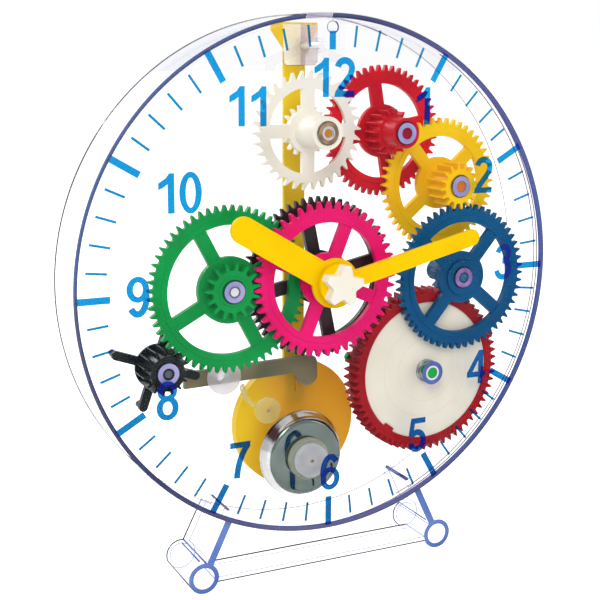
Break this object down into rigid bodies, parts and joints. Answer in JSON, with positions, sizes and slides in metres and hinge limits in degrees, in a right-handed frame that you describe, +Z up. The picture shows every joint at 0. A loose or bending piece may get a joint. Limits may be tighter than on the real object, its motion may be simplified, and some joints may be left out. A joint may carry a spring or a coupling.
{
  "type": "geared teaching clock",
  "caption": "Round clear-cased pendulum clock on a stand, with a coloured gear train, spring barrel, escapement, bell striker and two hands open to view.",
  "frame": {"origin": "middle of the bottom of the bounding box, which is the floor under the stand", "axes": "+Z up, -Y the dial side that faces the viewer, +X to the viewer's right; all wheel arbors lie along Y"},
  "size_m": [0.2376, 0.0608, 0.2575],
  "materials": {
    "clear_lid": "clear moulded plastic, smooth",
    "clear_case": "clear moulded plastic, smooth",
    "clear_stand": "clear moulded plastic, smooth",
    "clear_bridge": "clear moulded plastic, smooth",
    "clear_fittings": "clear moulded plastic, smooth",
    "bell_steel": "bright plated pressing",
    "arbor_steel": "turned and smooth",
    "spring_steel": "rolled strip",
    "grey_plastic": "moulded, satin",
    "brown_plastic": "moulded, satin",
    "blue_plastic": "moulded, glossy",
    "pink_plastic": "moulded, glossy",
    "green_plastic": "moulded, glossy",
    "black_plastic": "moulded, satin",
    "red_plastic": "moulded, glossy",
    "bright_red_plastic": "moulded, glossy",
    "yellow_plastic": "moulded, glossy",
    "hand_yellow": "moulded, glossy",
    "pendulum_yellow": "moulded, glossy",
    "cream_plastic": "moulded, glossy",
    "tan_plastic": "moulded, satin"
  },
  "bodies": {
    "case": {"front_cover": "clear_lid", "cover_skirt": "clear_lid", "cover_sockets": "clear_lid", "case_wall": "clear_case", "back_plate": "clear_case", "case_posts": "clear_case", "stand": "clear_stand", "anchor_bridge": "clear_bridge", "bell": "bell_steel", "bell_washer": "clear_fittings", "bell_cap": "clear_fittings", "lever_cap": "clear_fittings", "lever_spring": "clear_fittings"},
    "minute_train": {"centre_arbor": "arbor_steel", "centre_wheel": "brown_plastic", "clutch_washer": "spring_steel", "cannon_pinion": "blue_plastic", "minute_hand": "hand_yellow", "hand_nut": "cream_plastic"},
    "hour_train": {"hour_wheel": "pink_plastic", "hour_hand": "hand_yellow"},
    "green_train": {"green_wheel": "green_plastic", "green_arbor": "arbor_steel"},
    "star_train": {"strike_star": "black_plastic", "star_arbor": "arbor_steel"},
    "barrel_drum": {"barrel": "red_plastic", "barrel_cover": "cream_plastic", "mainspring": "spring_steel"},
    "winding_work": {"winding_arbor": "green_plastic", "ratchet_wheel": "green_plastic", "winding_key": "green_plastic"},
    "click": {"click": "green_plastic"},
    "blue_train": {"blue_wheel": "blue_plastic", "blue_arbor": "arbor_steel"},
    "yellow_train": {"yellow_wheel": "yellow_plastic", "yellow_arbor": "tan_plastic"},
    "red_train": {"red_wheel": "bright_red_plastic", "red_arbor": "bright_red_plastic"},
    "escape_train": {"escape_wheel": "cream_plastic", "escape_arbor": "tan_plastic"},
    "pendulum": {"anchor": "cream_plastic", "anchor_arbor": "arbor_steel", "pendulum_rod": "pendulum_yellow", "pendulum_bob": "pendulum_yellow"},
    "strike_lever": {"strike_lever": "grey_plastic"}
  },
  "joints": [
    {"name": "minute_spin", "type": "hinge", "parent": "case", "child": "minute_train", "pos_m": [0, -0.0006, 0.1395], "axis": [0, 1, 0], "continuous": true},
    {"name": "hour_spin", "type": "hinge", "parent": "case", "child": "hour_train", "pos_m": [0, -0.0006, 0.1395], "axis": [0, 1, 0], "continuous": true},
    {"name": "green_spin", "type": "hinge", "parent": "case", "child": "green_train", "pos_m": [-0.04557, -0.0006, 0.13775], "axis": [0, 1, 0], "continuous": true},
    {"name": "star_spin", "type": "hinge", "parent": "case", "child": "star_train", "pos_m": [-0.07655, -0.0006, 0.10429], "axis": [0, 1, 0], "continuous": true},
    {"name": "barrel_spin", "type": "hinge", "parent": "case", "child": "barrel_drum", "pos_m": [0.05667, -0.0006, 0.09007], "axis": [0, 1, 0], "continuous": true},
    {"name": "blue_spin", "type": "hinge", "parent": "case", "child": "blue_train", "pos_m": [0.07289, -0.0006, 0.13538], "axis": [0, 1, 0], "continuous": true},
    {"name": "yellow_spin", "type": "hinge", "parent": "case", "child": "yellow_train", "pos_m": [0.06983, -0.0006, 0.17917], "axis": [0, 1, 0], "continuous": true},
    {"name": "red_spin", "type": "hinge", "parent": "case", "child": "red_train", "pos_m": [0.03969, -0.0006, 0.20455], "axis": [0, 1, 0], "continuous": true},
    {"name": "escape_spin", "type": "hinge", "parent": "case", "child": "escape_train", "pos_m": [-0.0004, -0.0006, 0.20546], "axis": [0, 1, 0], "continuous": true},
    {"name": "winding_turn", "type": "hinge", "parent": "case", "child": "winding_work", "pos_m": [0.05667, -0.0006, 0.09007], "axis": [0, 1, 0], "range_deg": [0, 1440]},
    {"name": "click_swing", "type": "hinge", "parent": "case", "child": "click", "pos_m": [0.03, -0.0006, 0.0955], "axis": [0, 1, 0], "range_deg": [0, 12]},
    {"name": "pendulum_swing", "type": "hinge", "parent": "case", "child": "pendulum", "pos_m": [-0.0004, -0.0006, 0.2435], "axis": [0, 1, 0], "range_deg": [-3, 3]},
    {"name": "lever_swing", "type": "hinge", "parent": "case", "child": "strike_lever", "pos_m": [-0.0427, -0.0006, 0.0941], "axis": [0, 1, 0], "range_deg": [-4, 16]}
  ],
  "couplings": [
    {"joint": "hour_spin", "follows": "minute_spin", "ratio": 0.083333},
    {"joint": "green_spin", "follows": "minute_spin", "ratio": -0.25},
    {"joint": "star_spin", "follows": "minute_spin", "ratio": 1},
    {"joint": "barrel_spin", "follows": "minute_spin", "ratio": -0.92308},
    {"joint": "blue_spin", "follows": "minute_spin", "ratio": 4},
    {"joint": "yellow_spin", "follows": "minute_spin", "ratio": -14},
    {"joint": "red_spin", "follows": "minute_spin", "ratio": 44.8},
    {"joint": "escape_spin", "follows": "minute_spin", "ratio": -124.44}
  ]
}
